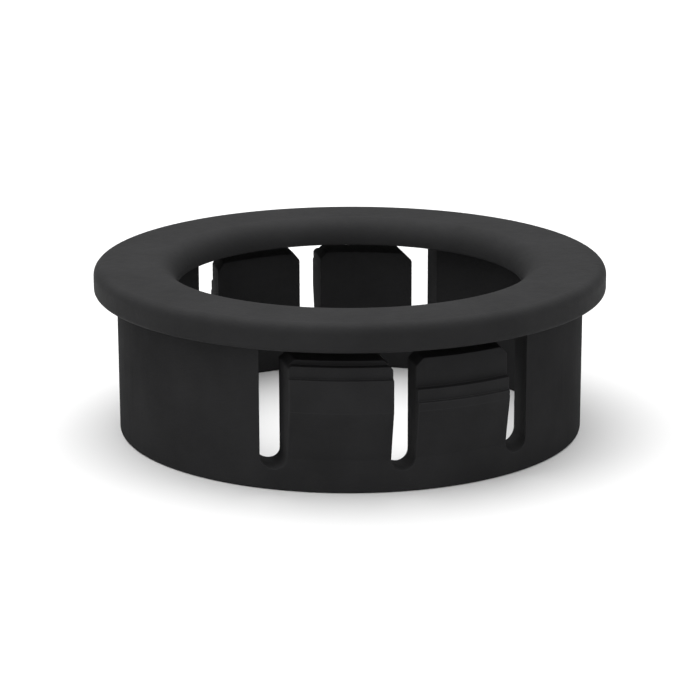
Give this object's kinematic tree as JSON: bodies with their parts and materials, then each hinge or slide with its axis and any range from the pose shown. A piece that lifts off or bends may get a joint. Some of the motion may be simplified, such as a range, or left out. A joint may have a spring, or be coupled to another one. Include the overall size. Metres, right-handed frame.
{
  "type": "desk cable grommet",
  "caption": "Round snap-in cable grommet: flange with a rounded inner lip, slotted barrel, and stepped snap fingers that flex inwards.",
  "frame": {"origin": "centre of the base ring's lower face", "axes": "+Z along the barrel axis, towards the flange; -Y to the middle slot of the front pair of snap fingers"},
  "size_m": [0.0552, 0.0552, 0.0181],
  "materials": {
    "nylon": "moulded satin black nylon"
  },
  "bodies": {
    "grommet_body": {"flange_ring": "nylon", "barrel_shell_left": "nylon", "barrel_shell_right": "nylon", "base_ring": "nylon"},
    "snap_finger_front_left": {"snap_finger_front_left": "nylon"},
    "snap_finger_front_right": {"snap_finger_front_right": "nylon"},
    "snap_finger_back_left": {"snap_finger_back_left": "nylon"},
    "snap_finger_back_right": {"snap_finger_back_right": "nylon"}
  },
  "joints": [
    {"name": "snap_finger_front_left_flex", "type": "hinge", "parent": "grommet_body", "child": "snap_finger_front_left", "pos_m": [-0.00632, -0.01998, 0.0035], "axis": [-0.9534, 0.3018, 0], "range_deg": [0, 14], "stiffness_Nm_per_rad": 0.9},
    {"name": "snap_finger_front_right_flex", "type": "hinge", "parent": "grommet_body", "child": "snap_finger_front_right", "pos_m": [0.00632, -0.01998, 0.0035], "axis": [-0.9534, -0.3018, 0], "range_deg": [0, 14], "stiffness_Nm_per_rad": 0.9},
    {"name": "snap_finger_back_left_flex", "type": "hinge", "parent": "grommet_body", "child": "snap_finger_back_left", "pos_m": [-0.00632, 0.01998, 0.0035], "axis": [0.9534, 0.3018, 0], "range_deg": [0, 14], "stiffness_Nm_per_rad": 0.9},
    {"name": "snap_finger_back_right_flex", "type": "hinge", "parent": "grommet_body", "child": "snap_finger_back_right", "pos_m": [0.00632, 0.01998, 0.0035], "axis": [0.9534, -0.3018, 0], "range_deg": [0, 14], "stiffness_Nm_per_rad": 0.9}
  ]
}
